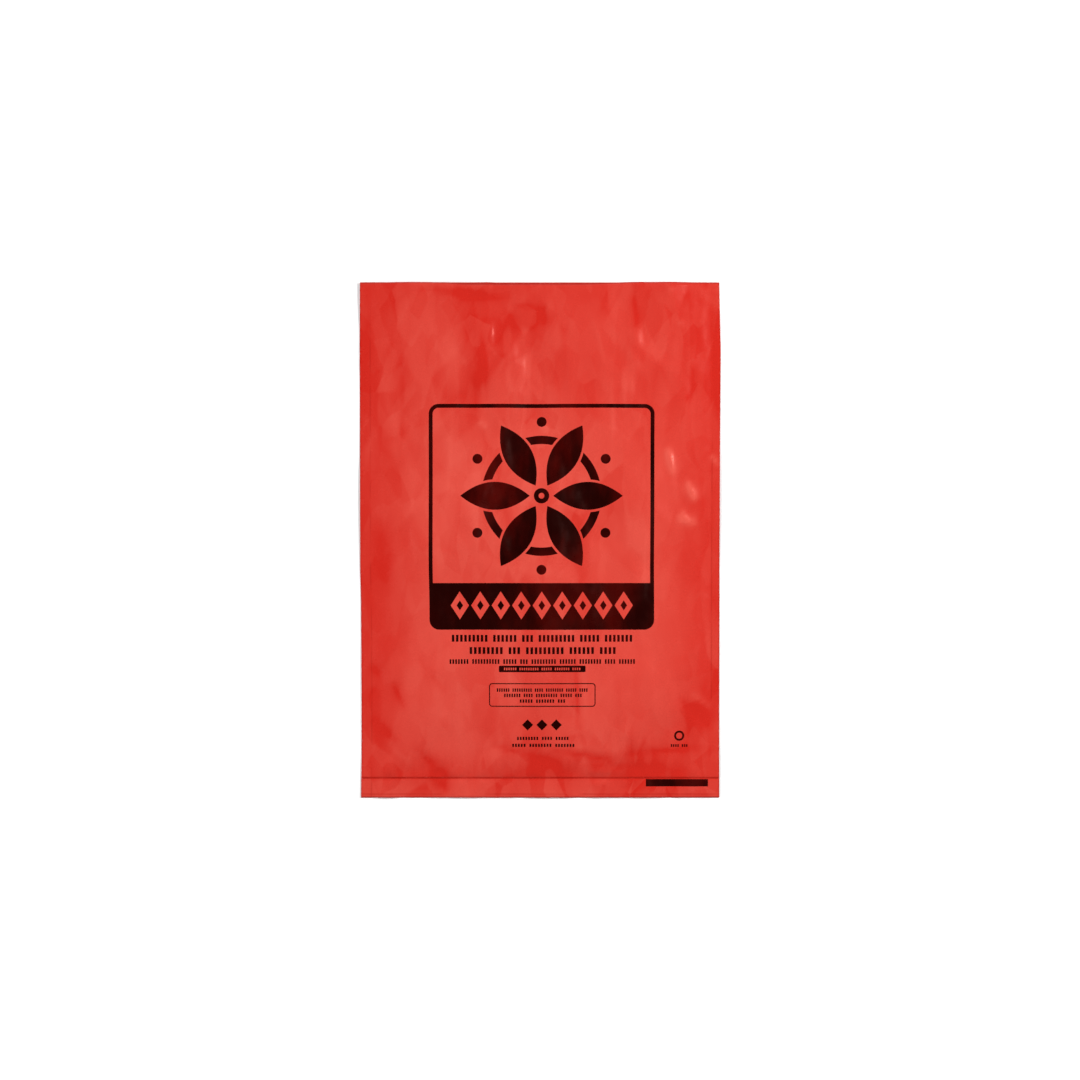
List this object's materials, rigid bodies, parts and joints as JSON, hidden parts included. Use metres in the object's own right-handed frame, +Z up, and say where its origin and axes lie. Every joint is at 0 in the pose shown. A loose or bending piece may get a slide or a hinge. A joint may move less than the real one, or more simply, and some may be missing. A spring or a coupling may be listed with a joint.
{
  "type": "biohazard waste bag",
  "caption": "Empty flat bag of thin translucent red film for clinical waste, open at its mouth, with one heat seal above a short loose skirt at its foot.",
  "frame": {"origin": "centre of the bag's bounding box, on the surface that the back panel lies on", "axes": "+Z up out of the printed front panel, +Y along the bag towards its open mouth, +X across it"},
  "size_m": [0.4, 0.573, 0.0142],
  "materials": {
    "red_film": "translucent red polyethylene film with a soft gloss, printed in near-black ink on its front panel"
  },
  "bodies": {
    "root": {"bag_film": "red_film"}
  },
  "joints": []
}
